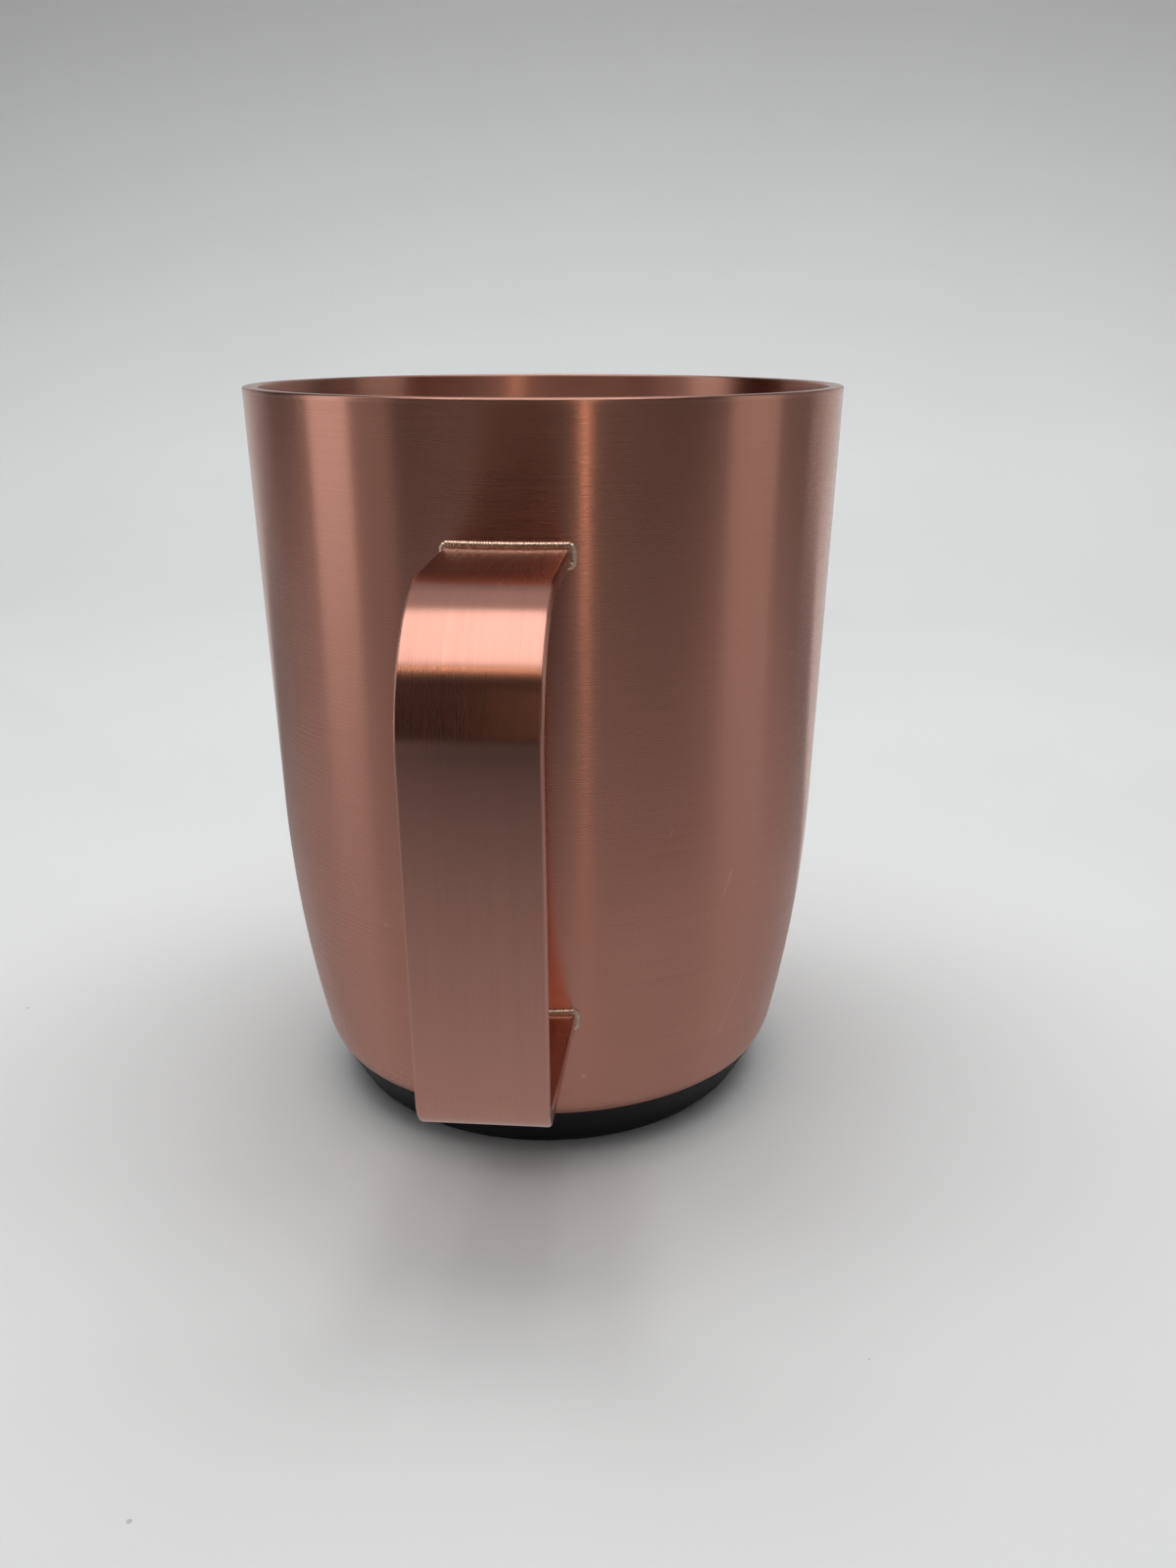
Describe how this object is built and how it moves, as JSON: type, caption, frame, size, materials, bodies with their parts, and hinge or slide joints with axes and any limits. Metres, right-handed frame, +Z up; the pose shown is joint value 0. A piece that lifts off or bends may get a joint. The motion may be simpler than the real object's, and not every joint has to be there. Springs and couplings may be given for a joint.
{
  "type": "milk frother",
  "caption": "Brushed copper-coloured electric milk frother jug, open at the top, with a strap handle, black foot and a lift-out magnetic whisk.",
  "frame": {"origin": "on the jug's axis at the surface it stands on, under the power socket", "axes": "+Z up along the jug's axis, the handle towards -Y, the start button towards +Y"},
  "size_m": [0.1, 0.1363, 0.125],
  "materials": {
    "copper_shell": "copper-coloured coating over steel, brushed round the jug, satin",
    "copper_vessel": "copper-coloured inside, fine satin",
    "copper_strap": "copper-coloured, brushed along the strap",
    "weld_metal": "bright fused bead",
    "steel_pin": "polished",
    "black_foot": "matte black moulded plastic",
    "soft_black": "matte silicone rubber",
    "bright_steel": "zinc plated",
    "chassis_plastic": "natural glass-filled nylon",
    "aluminium_plate": "turned",
    "heater_sheath": "heat-darkened sheath",
    "ceramic_white": "matte white ceramic",
    "brass_parts": "bright brass",
    "spring_steel": "drawn spring wire",
    "zinc_plate": "pressed zinc-plated sheet",
    "motor_can": "plated steel can",
    "ground_shaft": "ground",
    "magnet_nickel": "nickel plated",
    "green_board": "green solder resist",
    "chip_black": "matte black",
    "socket_plastic": "matte black heat-resistant plastic",
    "wire_sleeve": "red silicone sleeve",
    "copper_bezel": "copper-coloured, brushed",
    "black_button": "satin black",
    "white_plunger": "natural plastic",
    "whisk_plastic": "black food-safe plastic",
    "whisk_steel": "drawn stainless wire"
  },
  "bodies": {
    "jug": {"outer_shell": "copper_shell", "inner_vessel": "copper_vessel", "handle_strap": "copper_strap", "handle_welds": "weld_metal", "spindle_pin": "steel_pin", "base_cover": "black_foot", "base_seal": "soft_black", "foot_ring": "soft_black", "base_screws": "bright_steel", "vessel_studs": "bright_steel", "stud_spacers": "bright_steel", "stud_nuts": "bright_steel", "chassis": "chassis_plastic", "heat_spreader": "aluminium_plate", "heater_element": "heater_sheath", "thermal_cutout": "ceramic_white", "temperature_sensor": "brass_parts", "contact_rings": "brass_parts", "sensor_spring": "spring_steel", "button_spring": "spring_steel", "motor_bracket": "zinc_plate", "motor_body": "motor_can", "control_board": "green_board", "button_board": "green_board", "board_components": "chip_black", "switch_body": "chip_black", "inlet_socket": "socket_plastic", "wiring": "wire_sleeve", "button_bezel": "copper_bezel"},
    "rotor": {"magnet_carrier": "chassis_plastic", "motor_shaft": "ground_shaft", "drive_magnets": "magnet_nickel"},
    "whisk": {"whisk_hub": "whisk_plastic", "whisk_cap": "whisk_plastic", "whisk_magnets": "magnet_nickel", "whisk_ring": "whisk_steel", "whisk_coil": "whisk_steel"},
    "button": {"button_cap": "black_button", "switch_plunger": "white_plunger"}
  },
  "joints": [
    {"name": "rotor_spin", "type": "hinge", "parent": "jug", "child": "rotor", "pos_m": [0, 0, 0], "axis": [0, 0, 1], "continuous": true},
    {"name": "whisk_lift", "type": "slide", "parent": "rotor", "child": "whisk", "axis": [0, 0, 1], "range_m": [0, 0.1]},
    {"name": "button_press", "type": "slide", "parent": "jug", "child": "button", "axis": [0, -1, 0], "range_m": [0, 0.0008], "stiffness_N_per_m": 2000, "springref_m": -0.0006, "deforming": ["button_spring"]}
  ]
}
